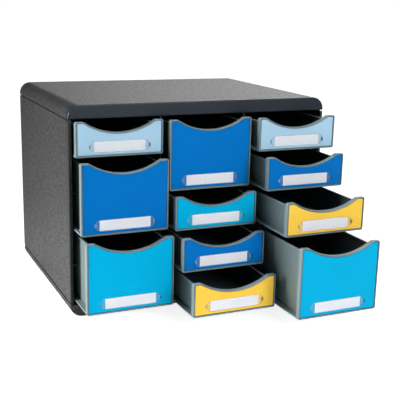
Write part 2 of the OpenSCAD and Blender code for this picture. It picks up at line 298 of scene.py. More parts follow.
def drawer_sizes():
    """Sizes of the drawers, their inserts and labels, in millimetres."""
    return in_millimetres(bpy.context.scene.drawer_sizes)


def box_in_millimetres(node):
    """Lowest and highest corner of a CAD node, in millimetres."""
    low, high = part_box(node)
    return low / MM, high / MM


# ---- Mesh helpers ----

def added(elements, before):
    """The elements of a mesh that weren't there before, in their order."""
    return [element for element in elements if element not in before]


def edges_of(verts):
    """All edges that join the given vertices with each other, always in the same order."""
    chosen = set(verts)
    touching = dict.fromkeys(e for v in verts for e in v.link_edges)
    return [e for e in touching if set(e.verts) <= chosen]


def round_edges(bm, edges, radius, steps):
    """Rounds edges; with one step it bevels them."""
    bmesh.ops.bevel(bm, geom=edges, offset=radius, offset_type="OFFSET", segments=steps,
                    profile=0.5, affect="EDGES", material=-1, clamp_overlap=True)


def cube_between(bm, low, high):
    """A plain box from its lowest to its highest corner; returns its vertices."""
    low, high = Vector(low), Vector(high)
    verts = bmesh.ops.create_cube(bm, size=1.0)["verts"]
    bmesh.ops.scale(bm, vec=high - low, verts=verts)
    bmesh.ops.translate(bm, vec=(low + high) / 2, verts=verts)
    return verts


def paint(faces, finish):
    """Gives faces one of their piece's finishes."""
    for face in faces:
        face.material_index = finish


def block(bm, low, high, fillet, steps=FINE_STEPS, finish=MAIN):
    """A box with rounded edges."""
    before = set(bm.faces)
    verts = cube_between(bm, low, high)
    if fillet:
        round_edges(bm, edges_of(verts), fillet, steps)
    paint(added(bm.faces, before), finish)


def mirrored_block(bm, low, high, fillet, steps=FINE_STEPS, finish=MAIN):
    """A box with rounded edges, and its mirror image on the other side of x = 0."""
    block(bm, low, high, fillet, steps, finish)
    block(bm, (-high[0], low[1], low[2]), (-low[0], high[1], high[2]), fillet, steps, finish)


def line_to(bm, vert, place):
    """Draws a straight edge from a vertex to a new one, which it returns."""
    end = bm.verts.new(place)
    bm.edges.new((vert, end))
    return end


def arc_to(bm, vert, centre, turn, steps):
    """Spins a vertex round a centre in the plane of a front, anticlockwise seen from the front."""
    spun = bmesh.ops.spin(bm, geom=[vert], cent=centre, axis=(0, -1, 0), angle=turn, steps=steps)
    return next(g for g in spun["geom_last"] if isinstance(g, bmesh.types.BMVert))


def close_loop(bm, start, end, before):
    """Joins the last vertex of a loop to its first and returns the loop's edges."""
    bmesh.ops.pointmerge(bm, verts=[start, end], merge_co=start.co)
    return added(bm.edges, before)


def bridge_all(bm, loops):
    """Joins neighbouring loops with bands of faces."""
    for one, other in zip(loops, loops[1:]):
        bmesh.ops.bridge_loops(bm, edges=one + other)


def fill(bm, *loops):
    """Fills one loop, or the area between a loop and the holes in it."""
    edges = [e for loop in loops for e in loop]
    return [g for g in bmesh.ops.triangle_fill(bm, edges=edges, use_beauty=True)["geom"]
            if isinstance(g, bmesh.types.BMFace)]


def fillet_profile(radius, steps):
    """Pairs of depth and margin along a quarter round, from the side of a piece to its front face."""
    turns = [QUARTER_TURN * i / steps for i in range(steps + 1)]
    return [(radius * (1 - math.sin(t)), radius * (1 - math.cos(t))) for t in turns]


def add_piece(name, bm, finish_names, body, slot, *nodes):
    """Makes a mesh in millimetres a piece that rides on a body and stands for CAD nodes."""
    bmesh.ops.recalc_face_normals(bm, faces=bm.faces)
    bmesh.ops.scale(bm, vec=(MM, MM, MM), verts=bm.verts)
    mesh = bpy.data.meshes.new(name)
    bm.to_mesh(mesh)
    bm.free()
    for key in finish_names:
        mesh.materials.append(finishes()[key])
    mesh.shade_smooth()
    mesh.set_sharp_from_angle(angle=SHARP_ANGLE)
    piece = bpy.data.objects.new(name, mesh)
    bpy.context.collection.objects.link(piece)
    weighted = piece.modifiers.new("Flat faces first", "WEIGHTED_NORMAL")
    weighted.keep_sharp = True
    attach(piece, body)
    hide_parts(*nodes)


# ---- Finishes ----

def add_node(tree, kind, inputs=None, **settings):
    """A shader node: its settings, and for each input a value or the output that is linked to it."""
    node = tree.nodes.new(f"ShaderNode{kind}")
    for key, value in settings.items():
        setattr(node, key, value)
    for key, value in (inputs or {}).items():
        if isinstance(value, bpy.types.NodeSocket):
            tree.links.new(value, node.inputs[key])
        else:
            node.inputs[key].default_value = value
    return node


def map_range(tree, value, start, end, low, high):
    """Values that go from low to high while another goes from start to end."""
    inputs = {"Value": value, "From Min": start, "From Max": end, "To Min": low, "To Max": high}
    return add_node(tree, "MapRange", inputs).outputs["Result"]


def empty_tree(owner):
    """The node tree of a material or a world, with no nodes in it."""
    owner.use_nodes = True
    owner.node_tree.nodes.clear()
    return owner.node_tree


class Finish:
    """A material on a Principled shader, patterned on Object coordinates."""

    def __init__(self, name):
        self.material = bpy.data.materials.new(name)
        self.tree = empty_tree(self.material)
        self.place = add_node(self.tree, "TexCoord").outputs["Object"]

    def noise(self, scale, detail=2.0, roughness=0.5, stretch=(1, 1, 1)):
        """Noise with so many lumps to a metre, drawn out where the stretch is under 1."""
        vector = add_node(self.tree, "Mapping", {"Vector": self.place, "Scale": stretch}).outputs["Vector"]
        inputs = {"Vector": vector, "Scale": scale, "Detail": detail, "Roughness": roughness}
        return add_node(self.tree, "TexNoise", inputs).outputs["Fac"]

    def remap(self, value, low, high, start=0.3, end=0.7):
        """Values between low and high; start and end are where noise reaches them."""
        return map_range(self.tree, value, start, end, low, high)

    def around(self, value, middle, spread):
        """Values within a spread of a middle; a negative spread makes high noise give low values."""
        return self.remap(value, middle - spread, middle + spread)

    def shade(self, base, factor):
        """A colour that a factor round 1 makes darker and lighter."""
        first = base if isinstance(base, bpy.types.NodeSocket) else (*base, 1.0)
        inputs = {"Factor": 1.0, "A": first, "B": factor}
        return add_node(self.tree, "Mix", inputs, data_type="RGBA", blend_type="MULTIPLY").outputs["Result"]

    def bump(self, height, strength, distance):
        """The normal over a relief of the given depth in metres."""
        inputs = {"Strength": strength, "Distance": distance, "Height": height}
        return add_node(self.tree, "Bump", inputs).outputs["Normal"]

    def done(self, inputs):
        """The material, once the shader's inputs are given."""
        shader = add_node(self.tree, "BsdfPrincipled", inputs)
        add_node(self.tree, "OutputMaterial", {"Surface": shader.outputs["BSDF"]})
        return self.material


def moulded_plastic(name, base, roughness, grain, speckle, cloud=0.04, relief=0.25, gloss=0.5, tint=False):
    """Moulded plastic: fine grain of the given size, slow clouds of colour, and uneven gloss."""
    finish = Finish(name)
    fine = finish.noise(1.0 / (grain * MM), detail=3.0, roughness=0.6)
    slow = finish.noise(CLOUD_SCALE, detail=3.0)
    smudges = finish.noise(45.0, detail=4.0, roughness=0.6)
    clouded = finish.shade(base, finish.around(slow, 1, cloud))
    reflected = [part / max(base) for part in base] if tint else (1, 1, 1)
    return finish.done({
        "Base Color": finish.shade(clouded, finish.around(fine, 1, speckle)),
        "Roughness": finish.around(smudges, roughness, 0.05),
        "Specular IOR Level": gloss,
        "Specular Tint": (*reflected, 1.0),
        "Normal": finish.bump(fine, relief, distance=grain * MM * 0.35),
    })


def grained_plastic(name, base, roughness, grain, speckle):
    """Moulded plastic with a coarse grain, drawn out along the depth, that varies its colour and gloss."""
    finish = Finish(name)
    fine = finish.noise(1.0 / (grain * MM), detail=2.0, roughness=0.6, stretch=(1, 0.6, 1))
    slow = finish.noise(CLOUD_SCALE, detail=3.0)
    clouded = finish.shade(base, finish.around(slow, 1, 0.04))
    return finish.done({
        "Base Color": finish.shade(clouded, finish.around(fine, 1, speckle)),
        "Roughness": finish.around(fine, roughness, -0.05),
        "Specular IOR Level": finish.remap(fine, 0.2, 0.8, start=0.35, end=0.65),
        "Normal": finish.bump(fine, strength=0.55, distance=grain * MM * 0.3),
    })


def card_stock(name, base):
    """Uncoated card: faint fibres and a matt surface."""
    finish = Finish(name)
    fibres = finish.noise(900.0, detail=4.0, roughness=0.65, stretch=(0.35, 1, 1))
    slow = finish.noise(60.0, detail=2.0)
    clouded = finish.shade(base, finish.around(slow, 1, 0.01))
    return finish.done({
        "Base Color": finish.shade(clouded, finish.around(fibres, 1, 0.01)),
        "Roughness": finish.around(fibres, 0.84, 0.06),
        "Specular IOR Level": 0.3,
        "Normal": finish.bump(fibres, strength=0.05, distance=0.05 * MM),
    })


def clear_plastic(name, base, alpha):
    """Clear moulded plastic, faintly tinted, with slight flow marks."""
    finish = Finish(name)
    flow = finish.noise(140.0, detail=2.0, stretch=(0.3, 1, 1))
    return finish.done({
        "Base Color": finish.shade(base, finish.around(flow, 1, 0.03)),
        "Roughness": finish.around(flow, 0.14, 0.04),
        "Alpha": alpha,
        "Normal": finish.bump(flow, strength=0.05, distance=0.1 * MM),
    })


@cache
def finishes():
    """All finishes by name: moulded ones with a roughness, a grain in millimetres and a speckle."""
    c = bpy.context.scene.cabinet_colours
    made = {
        "case": grained_plastic("case_grained_plastic", c.case, 0.42, 2.2, 0.34),
        "band": moulded_plastic("case_smooth_plastic", c.band, 0.38, 0.4, 0.04, relief=0.05, gloss=0.28),
        "border": moulded_plastic("case_border_plastic", c.border, 0.38, 0.4, 0.04, relief=0.05, gloss=0.28),
        "inner": moulded_plastic("inner_matt_plastic", c.inner, 0.62, 0.6, 0.08),
        "foot": moulded_plastic("foot_rubber", c.foot, 0.8, 0.5, 0.1),
        "tray": moulded_plastic("tray_smooth_plastic", c.tray, 0.36, 0.5, 0.04, relief=0.08),
        "tray_wall": moulded_plastic("tray_grained_plastic", c.tray_wall, 0.5, 0.6, 0.06, relief=0.2),
        # Painted shade: a darker finish for the inside of a drawer
        "tray_inside": moulded_plastic("tray_dark_inside", c.tray_inside, 0.6, 0.6, 0.08),
        "card": card_stock("label_card_stock", c.card),
        "window": clear_plastic("label_clear_plastic", c.window, 0.07),
        # Painted highlight: the clips and window edges are pale and nearly opaque
        "clip": clear_plastic("label_clip_plastic", c.clip, 0.65),
        "edge": clear_plastic("label_edge_plastic", c.clip, 0.35),
    }
    for shade, (speckle, cloud) in INSERT_MOTTLE.items():
        made[shade] = moulded_plastic(
            f"insert_{shade}_plastic", getattr(c, shade), 0.32, 0.8, speckle, cloud,
            relief=0.05, gloss=0.3, tint=True)
    return made


# ---- Covers ----

def along_depth(edges, z):
    """The edges at a height that run along the depth."""
    return [e for e in edges if all(abs(v.co.z - z) < CLOSE for v in e.verts)
            and abs(e.verts[0].co.x - e.verts[1].co.x) < CLOSE]


def split_across(bm, y):
    """Cuts the faces of a mesh along a plane across the depth and keeps both sides."""
    bmesh.ops.bisect_plane(bm, geom=[*bm.verts, *bm.edges, *bm.faces], plane_co=(0, y, 0), plane_no=(0, 1, 0))


def cover_mesh(node, upward):
    """A cover: rounded shell with small fillets on its ends, a cavity and the ribs of its channels."""
    s = cabinet_sizes()
    low, high = box_in_millimetres(node)
    open_z, outer_z = (low.z, high.z) if upward else (high.z, low.z)
    bm = bmesh.new()
    verts = cube_between(bm, low, high)
    round_edges(bm, along_depth(edges_of(verts), outer_z), s.cover_radius, COVER_STEPS)
    ends = [f for f in bm.faces if abs(f.normal.y) > STRAIGHT]
    outlines = list(dict.fromkeys(e for f in ends for e in f.edges))
    round_edges(bm, outlines, s.cover_fillet, FILLET_STEPS)
    border_y = low.y
    if upward:
        border_y += s.cover_border
        split_across(bm, border_y)
    for face in bm.faces:
        y = face.calc_center_median().y
        face.material_index = BAND if y < border_y or y > high.y - s.cover_fillet else MAIN
    mouth = [f for f in bm.faces
             if abs(f.normal.z) > STRAIGHT and abs(f.calc_center_median().z - open_z) < CLOSE]
    ledge_width = s.cover_wall - s.cover_fillet * MOUTH_SHARE
    # The ledge round the mouth, at the seam, takes the darker band finish: painted shade that deepens the
    # seam
    shaded_ledge = bmesh.ops.inset_region(bm, faces=mouth, thickness=ledge_width, use_even_offset=True)["faces"]
    paint(shaded_ledge, BAND)
    bmesh.ops.inset_region(bm, faces=mouth, thickness=0.0, depth=s.cover_wall - (high.z - low.z))
    ceiling_z = mouth[0].calc_center_median().z
    round_edges(bm, along_depth(bm.edges, ceiling_z), s.cover_radius - s.cover_wall, COVER_STEPS // 2)
    add_channel_ribs(bm, low, high, upward)
    return bm


def add_channel_ribs(bm, low, high, upward):
    """Ribs on both sides of each channel, a little short of the open edge."""
    s = cabinet_sizes()
    wall = s.cover_wall * IN_WALL
    z0, z1 = (low.z + RIB_SETBACK, high.z - wall) if upward else (low.z + wall, high.z - RIB_SETBACK)
    y0, y1 = low.y + wall, high.y - wall
    panel_x = high.x - s.reveal - s.side_panel
    rib_x = panel_x - s.clearance
    depth = s.channel * 2
    side_z0, side_z1 = (z0, z0 + depth) if upward else (z1 - depth, z1)
    mirrored_block(bm, (rib_x - s.rib, y0, side_z0), (rib_x, y1, side_z1), RIB_FILLET)
    for node in ("left_partition", "right_partition"):
        part_low, part_high = box_in_millimetres(node)
        middle = (part_low.x + part_high.x) / 2
        near = s.partition / 2 + s.clearance
        block(bm, (middle - near - s.rib, y0, z0), (middle - near, y1, z1), RIB_FILLET)
        block(bm, (middle + near, y0, z0), (middle + near + s.rib, y1, z1), RIB_FILLET)
    rib_y = box_in_millimetres("back_panel")[0].y - s.clearance
    block(bm, (-panel_x, rib_y - s.rib, side_z0), (panel_x, rib_y, side_z1), RIB_FILLET)


class CABINET_OT_covers(bpy.types.Operator):
    """Build the top and the base cover"""
    bl_idname = "cabinet.covers"
    bl_label = "Covers"

    def execute(self, context):
        for name, upward in (("top", True), ("base", False)):
            node = f"{name}_cover"
            add_piece(f"cover_{name}", cover_mesh(node, upward), ("case", "band"), "cabinet", "case", node)
        return {"FINISHED"}


# ---- Panels ----

def row_heights():
    """Height of the bottom of each row of drawers."""
    bottom = box_in_millimetres("drawer_3_tray")[0].z
    top = box_in_millimetres("drawer_1_tray")[0].z
    pitch = (top - bottom) / (ROW_COUNT - 1)
    return [bottom + row * pitch for row in range(ROW_COUNT)]


def tray_length():
    """Length of a drawer from its front plane to its rear."""
    low, high = box_in_millimetres("drawer_1_tray")
    return high.y - low.y


def add_rails(bm, wall_x, side, finish):
    """Rails and stops of every row on one face of a wall; side is 1 or -1, the way that they stand out."""
    s = cabinet_sizes()
    front_y = box_in_millimetres("top_cover")[0].y
    rear_stop_y = front_y + tray_length() + s.running_gap
    front_stop_y = front_y - s.travel + tray_length() - s.stop - s.running_gap

    def stand_out(out, y0, y1, z0, z1):
        x0, x1 = sorted((wall_x - side * SINK, wall_x + side * out))
        block(bm, (x0, y0, z0), (x1, y1, z1), RAIL_FILLET, finish=finish)

    for z in row_heights():
        under = z - s.running_gap
        stand_out(s.rail_width, front_y + s.rail_inset, rear_stop_y + s.stop, under - s.rail, under)
        stand_out(s.rail_width, rear_stop_y, rear_stop_y + s.stop, under - SINK, z + s.stop_height)
        stand_out(s.stop_width, front_stop_y - s.stop, front_stop_y,
                  z + drawer_sizes().floor + s.stop_clearance, z + s.stop_height)


def side_panel_mesh(side):
    """A side panel: plate with a rounded front edge, tongue, rails and the rib before the back panel."""
    s = cabinet_sizes()
    cover_low, cover_high = box_in_millimetres("top_cover")
    base_z = box_in_millimetres("base_cover")[1].z
    z0, z1 = base_z + s.seam, cover_low.z - s.seam
    outer, inner = cover_high.x - s.reveal, cover_high.x - s.reveal - s.side_panel
    front_y, back_y = cover_low.y, cover_high.y
    bm = bmesh.new()
    verts = cube_between(bm, (inner, front_y, z0), (outer, back_y, z1))
    front_edge = [e for e in edges_of(verts)
                  if all(v.co.x > outer - CLOSE and v.co.y < front_y + CLOSE for v in e.verts)]
    round_edges(bm, front_edge, s.panel_edge, WALL_STEPS)
    steep = [e for e in bm.edges if e.calc_face_angle(0) > SQUARE_ANGLE]
    round_edges(bm, steep, s.panel_fillet, FINE_STEPS)
    border_y = front_y + s.panel_border
    split_across(bm, border_y)
    for face in bm.faces:
        face.material_index = BORDER if face.calc_center_median().y < border_y else MAIN
    # The tongue, seen through the seams, takes the dark inner finish: painted shade that deepens the seams
    inset = s.cover_wall + s.clearance
    block(bm, (inner + HAIR, front_y + inset, base_z - s.channel),
          (cover_high.x - inset, back_y - inset, cover_low.z + s.channel), RIB_FILLET, finish=INNER)
    rib_y = box_in_millimetres("back_panel")[0].y - s.clearance
    block(bm, (inner - s.rail_width, rib_y - s.rib, z0), (inner + SINK, rib_y, z1), RIB_FILLET, finish=INNER)
    add_rails(bm, inner, -1, INNER)
    paint([f for f in bm.faces
           if f.normal.x < -NEARLY and abs(f.calc_center_median().x - inner) < 2 * HAIR], INNER)
    if side < 0:
        bmesh.ops.scale(bm, vec=(-1, 1, 1), verts=bm.verts)
    return bm


class CABINET_OT_side_panels(bpy.types.Operator):
    """Build the two side panels with their rails"""
    bl_idname = "cabinet.side_panels"
    bl_label = "Side panels"

    def execute(self, context):
        for name, side in (("left", -1), ("right", 1)):
            bm, node = side_panel_mesh(side), f"{name}_side_panel"
            add_piece(f"panel_{name}", bm, ("case", "inner", "border"), "cabinet", "case", node)
        return {"FINISHED"}


def partition_mesh(node):
    """A partition between two columns, with rails on both faces."""
    s = cabinet_sizes()
    cover_low, _ = box_in_millimetres("top_cover")
    _, base_high = box_in_millimetres("base_cover")
    low, high = box_in_millimetres(node)
    middle, half = (low.x + high.x) / 2, s.partition / 2
    bm = bmesh.new()
    block(bm, (middle - half, cover_low.y + s.partition_inset, base_high.z + s.seam),
          (middle + half, high.y, cover_low.z - s.seam), s.partition_fillet, FILLET_STEPS)
    block(bm, (middle - half + HAIR, cover_low.y + s.cover_wall + s.clearance, low.z),
          (middle + half - HAIR, high.y, high.z), RIB_FILLET)
    add_rails(bm, middle + half, 1, MAIN)
    add_rails(bm, middle - half, -1, MAIN)
    return bm


class CABINET_OT_partitions(bpy.types.Operator):
    """Build the two partitions with their rails"""
    bl_idname = "cabinet.partitions"
    bl_label = "Partitions"

    def execute(self, context):
        for name in ("left", "right"):
            node = f"{name}_partition"
            add_piece(f"partition_{name}", partition_mesh(node), ("inner",), "cabinet", "inner", node)
        return {"FINISHED"}


class CABINET_OT_back_panel(bpy.types.Operator):
    """Build the back panel with its raised frame"""
    bl_idname = "cabinet.back_panel"
    bl_label = "Back panel"

    def execute(self, context):
        s = cabinet_sizes()
        low, high = box_in_millimetres("back_panel")
        bm = bmesh.new()
        cube_between(bm, low, high)
        outside = [f for f in bm.faces if f.normal.y > STRAIGHT]
        bmesh.ops.inset_region(bm, faces=outside, thickness=s.back_frame, use_even_offset=True)
        bmesh.ops.inset_region(bm, faces=outside, thickness=s.back_field * 2, depth=-s.back_field)
        round_edges(bm, [e for e in bm.edges if e.calc_face_angle(0) > BENT_ANGLE], RIB_FILLET, FINE_STEPS)
        paint([f for f in bm.faces if f.normal.y > SLIGHTLY], OUTSIDE)
        add_piece("panel_back", bm, ("inner", "case"), "cabinet", "inner", "back_panel")
        return {"FINISHED"}


class CABINET_OT_feet(bpy.types.Operator):
    """Build the four anti-slip feet"""
    bl_idname = "cabinet.feet"
    bl_label = "Feet"

    def execute(self, context):
        s = cabinet_sizes()
        low, high = box_in_millimetres("feet")
        radius = s.foot_diameter / 2
        bm = bmesh.new()
        for x in (low.x + radius, high.x - radius):
            for y in (low.y + radius, high.y - radius):
                place = Matrix.Translation((x, y, (low.z + high.z) / 2))
                verts = bmesh.ops.create_cone(
                    bm, cap_ends=True, segments=FOOT_SIDES, radius1=radius, radius2=radius,
                    depth=high.z - low.z, matrix=place)["verts"]
                rims = [e for e in edges_of(verts) if abs(e.verts[0].co.z - e.verts[1].co.z) < CLOSE]
                round_edges(bm, rims, s.foot_fillet, FILLET_STEPS)
                under = [f for f in bm.faces if f.normal.z < -STRAIGHT
                         and (f.calc_center_median().xy - Vector((x, y))).length < CLOSE]
                bmesh.ops.inset_region(bm, faces=under, thickness=s.foot_rim)
                bmesh.ops.inset_region(bm, faces=under, thickness=s.foot_hollow, depth=-s.foot_hollow)
        add_piece("feet_rubber", bm, ("foot",), "cabinet", "feet", "feet")
        return {"FINISHED"}


# ---- Drawers ----

def front_loop(bm, d, width, height, y, side, top, corner):
    """One outline of a drawer front with its finger scoop, drawn in by the given margins."""
    before = set(bm.edges)
    half, low, high = width / 2 - side, side, height - top
    scoop_radius = (d.scoop_width ** 2 / 4 + d.scoop_depth ** 2) / (2 * d.scoop_depth)
    scoop_z = height - d.scoop_depth + scoop_radius
    shoulder_z = height - d.shoulder
    reach = scoop_radius + d.shoulder
    shoulder_x = math.sqrt(reach ** 2 - (scoop_z - shoulder_z) ** 2)
    tangent = math.acos(shoulder_x / reach)

    def corner_arc(vert, x, z):
        return arc_to(bm, vert, (x, y, z), QUARTER_TURN, CORNER_STEPS)

    start = bm.verts.new((corner - half, y, low))
    vert = line_to(bm, start, (half - corner, y, low))
    vert = corner_arc(vert, half - corner, low + corner)
    vert = line_to(bm, vert, (half, y, high - corner))
    vert = corner_arc(vert, half - corner, high - corner)
    vert = line_to(bm, vert, (shoulder_x, y, high))
    vert = arc_to(bm, vert, (shoulder_x, y, shoulder_z), QUARTER_TURN - tangent, SHOULDER_STEPS)
    vert = arc_to(bm, vert, (0, y, scoop_z), 2 * tangent - HALF_TURN, SCOOP_STEPS)
    vert = arc_to(bm, vert, (-shoulder_x, y, shoulder_z), QUARTER_TURN - tangent, SHOULDER_STEPS)
    vert = line_to(bm, vert, (corner - half, y, high))
    vert = corner_arc(vert, corner - half, high - corner)
    vert = line_to(bm, vert, (-half, y, low + corner))
    vert = corner_arc(vert, corner - half, low + corner)
    return close_loop(bm, start, vert, before)


def slot_loops(bm, d, y, margin=0.0):
    """Outlines of the two slots for a window's clips; a margin draws in all but their inner ends."""
    near, far = (d.window_width - d.clip_width) / 2, (d.window_width + d.clip_width) / 2 - margin
    low, high = (d.label_height + side * (d.clip_height / 2 - margin) for side in (-1, 1))
    loops = []
    for x0, x1 in ((-far, -near), (near, far)):
        verts = [bm.verts.new((x, y, z)) for x, z in ((x0, low), (x1, low), (x1, high), (x0, high))]
        loops.append([bm.edges.new((verts[i - 1], verts[i])) for i in range(4)])
    return loops


def add_front(bm, d, width, height):
    """The front of a drawer: rounded rim, pocket for the insert, and the wall behind it with its slots."""
    pocket_y = d.insert_recess + d.insert
    back_y = pocket_y + d.front_wall
    bevel = d.rim_bevel
    inner = [(depth, d.rim - margin, d.rim_top - margin, d.pocket_corner + margin)
             for depth, margin in fillet_profile(d.rim_inner_fillet, FINE_STEPS)]
    outer = [(depth, margin, margin, d.rim_corner - margin)
             for depth, margin in fillet_profile(d.rim_fillet, FILLET_STEPS)]
    rear = [(d.rim_depth - depth, margin, margin, d.rim_corner - margin)
            for depth, margin in fillet_profile(d.rim_rear_fillet, FINE_STEPS)]
    rows = [(pocket_y, d.rim, d.rim_top, d.pocket_corner), *inner, *reversed(outer), *rear,
            (d.rim_depth, d.rim - bevel, d.rim_top - bevel, d.pocket_corner + bevel),
            (d.rim_depth - bevel, d.rim, d.rim_top, d.pocket_corner),
            (back_y, d.rim, d.rim_top, d.pocket_corner)]
    loops = [front_loop(bm, d, width, height, *row) for row in rows]
    bridge_all(bm, loops)
    front_slots, back_slots = slot_loops(bm, d, pocket_y), slot_loops(bm, d, back_y)
    fill(bm, loops[0], *front_slots)
    # The back of the front wall and the slots take the dark inside finish, which is painted shade
    inside = fill(bm, loops[-1], *back_slots)
    for one, other in zip(front_slots, back_slots):
        inside += bmesh.ops.bridge_loops(bm, edges=one + other)["faces"]
    paint(inside, SHADED_INSIDE)


def behind_front(d):
    """Where the walls start, sunk a little into the wall behind the insert."""
    return d.insert_recess + d.insert + d.front_wall - SINK


def add_tub(bm, d, width, height, depth):
    """Walls and floor of a drawer as one shell with rounded corners, open at the top and at the front."""
    wall_x = width / 2 - d.wall_inset
    bottom, top = d.floor - d.wall, height - d.lip_drop - EMBED
    before = set(bm.faces)
    verts = cube_between(bm, (-wall_x, behind_front(d), bottom), (wall_x, depth, top))
    open_sides = [f for f in added(bm.faces, before) if f.normal.z > STRAIGHT or f.normal.y < -STRAIGHT]
    bmesh.ops.delete(bm, geom=open_sides, context="FACES")
    inner_edges = [e for e in edges_of([v for v in verts if v.is_valid]) if len(e.link_faces) == 2]
    round_edges(bm, inner_edges, d.wall_corner, WALL_STEPS)
    bmesh.ops.solidify(bm, geom=added(bm.faces, before), thickness=d.wall)
    within = d.wall * IN_WALL
    # Faces inside the drawer take the dark inside finish, which is painted shade
    for face in added(bm.faces, before):
        centre = face.calc_center_median()
        shaded_inward = abs(centre.x) < wall_x - within and centre.y < depth - within and centre.z > bottom + within
        face.material_index = SHADED_INSIDE if shaded_inward else WALL


def tray_mesh(d, width, height, depth):
    """A drawer moulding with its front plane at y = 0 and its bottom at z = 0."""
    bm = bmesh.new()
    add_front(bm, d, width, height)
    add_tub(bm, d, width, height, depth)
    front = behind_front(d)
    outer_x, runner_x, lip_x, ear_x = (
        width / 2 - inset for inset in (d.wall_inset, d.runner_inset, d.lip_inset, d.ear_inset))
    inner_x = outer_x - d.wall
    lip_z = height - d.lip_drop
    block(bm, (-runner_x, front, 0), (runner_x, depth, d.floor - HAIR), d.edge_fillet)
    mirrored_block(bm, (inner_x, front, lip_z - d.lip), (lip_x, depth, lip_z), d.edge_fillet)
    mirrored_block(
        bm, (outer_x - EMBED, depth - d.ear, 2 * HAIR), (ear_x, depth, d.ear_height), d.edge_fillet)
    block(bm, (-inner_x, depth - d.wall, lip_z - d.lip), (inner_x, depth, lip_z), d.edge_fillet)
    return bm


def drawers():
    """Each drawer's number, body, place (bottom centre on the front plane), width, height and depth."""
    for number in range(1, DRAWER_COUNT + 1):
        body = f"drawer_{number}"
        low, high = box_in_millimetres(f"{body}_tray")
        place = Vector(((low.x + high.x) / 2, low.y, low.z))
        yield number, body, place, high.x - low.x, high.z - low.z, high.y - low.y


def placed(bm, place):
    """Moves a whole mesh to its place."""
    bmesh.ops.translate(bm, vec=place, verts=bm.verts)
    return bm


class CABINET_OT_trays(bpy.types.Operator):
    """Build the eleven drawer mouldings"""
    bl_idname = "cabinet.trays"
    bl_label = "Drawers"

    def execute(self, context):
        d = drawer_sizes()
        for number, body, place, width, height, depth in drawers():
            bm, node = placed(tray_mesh(d, width, height, depth), place), f"{body}_tray"
            add_piece(f"tray_{number}", bm, ("tray", "tray_wall", "tray_inside"), body, "tray", node)
        return {"FINISHED"}


# ---- Inserts and labels ----

def obround_loop(bm, d, y, width, height, notch=0.0):
    """An obround lying along X round the label's centre, with a notch of the given reach at each end."""
    before = set(bm.edges)
    radius = height / 2
    end = width / 2 - radius
    z = d.label_height
    half_notch = math.asin(d.clip_height / 2 / radius) if notch else 0.0
    notch_x = end + radius * math.cos(half_notch)
    turn = QUARTER_TURN - half_notch
    start = bm.verts.new((-end, y, z - radius))
    vert = start
    for side in (1, -1):
        vert = line_to(bm, vert, (side * end, y, z - side * radius))
        vert = arc_to(bm, vert, (side * end, y, z), turn, OBROUND_STEPS)
        if notch:
            lip = d.clip_height / 2 * side
            for x, lip_z in ((notch, z - lip), (notch, z + lip), (notch_x, z + lip)):
                vert = line_to(bm, vert, (side * x, y, lip_z))
        vert = arc_to(bm, vert, (side * end, y, z), turn, OBROUND_STEPS)
    return close_loop(bm, start, vert, before)


def insert_mesh(d, width, height):
    """A coloured insert: plate with a rounded front edge, and a recess for the card and its window."""
    front, back = d.insert_recess, d.insert_recess + d.insert
    side, top = d.rim + d.groove, d.rim_top + d.groove
    recess_y = front + d.card + d.window
    bm = bmesh.new()
    rows = [(back, side, top, d.insert_corner)]
    rows += [(front + depth, side + margin, top + margin, d.insert_corner + d.insert_fillet - margin)
             for depth, margin in fillet_profile(d.insert_fillet, FINE_STEPS)]
    loops = [front_loop(bm, d, width, height, *row) for row in rows]
    bridge_all(bm, loops)
    recess_w, recess_h = d.window_width + 2 * d.window_gap, d.window_height + 2 * d.window_gap
    slot_end = (d.window_width + d.clip_width) / 2
    bevel = d.recess_bevel
    mouth = obround_loop(bm, d, front, recess_w + 2 * bevel, recess_h + 2 * bevel, slot_end + bevel)
    edge = obround_loop(bm, d, front + bevel, recess_w, recess_h, slot_end)
    floor = obround_loop(bm, d, recess_y, recess_w, recess_h, slot_end)
    bridge_all(bm, [mouth, edge, floor])
    fill(bm, loops[-1], mouth)
    floor_slots, back_slots = slot_loops(bm, d, recess_y, HAIR), slot_loops(bm, d, back, HAIR)
    fill(bm, floor, *floor_slots)
    fill(bm, loops[0], *back_slots)
    for one, other in zip(floor_slots, back_slots):
        bridge_all(bm, [one, other])
    return bm


class CABINET_OT_inserts(bpy.types.Operator):
    """Build the eleven coloured front inserts"""
    bl_idname = "cabinet.inserts"
    bl_label = "Front inserts"

    def execute(self, context):
        d = drawer_sizes()
        for number, body, place, width, height, _ in drawers():
            finish = INSERT_FINISH[number]
            bm = placed(insert_mesh(d, width, height), place)
            add_piece(f"insert_{number}", bm, (finish,), body, f"insert_{finish}", f"{body}_front_insert")
        return {"FINISHED"}


def card_mesh(low, high, corner):
    """A label card with rounded corners, upright in the plane of a front."""
    bm = bmesh.new()
    verts = cube_between(bm, low, high)
    short = [e for e in edges_of(verts) if abs(e.verts[0].co.y - e.verts[1].co.y) > CLOSE]
    round_edges(bm, short, corner, CORNER_STEPS)
    round_edges(bm, [e for e in bm.edges if e.calc_face_angle(0) > SQUARE_ANGLE], HAIR, steps=1)
    return bm


def window_mesh(d):
    """A clear label window: obround plate with a rounded front edge and a clip at each end."""
    bm = bmesh.new()
    rows = [(d.window - WINDOW_AIR, 0.0), *fillet_profile(d.window_fillet, FINE_STEPS)]
    width, height = d.window_width, d.window_height
    loops = [obround_loop(bm, d, d.insert_recess + depth, width - 2 * margin, height - 2 * margin)
             for depth, margin in rows]
    bridge_all(bm, loops)
    # The window's edge gets the pale finish: a painted highlight
    paint(bm.faces, EDGE_HIGHLIGHT)
    fill(bm, loops[0])
    fill(bm, loops[-1])
    add_clips(bm, d)
    return bm


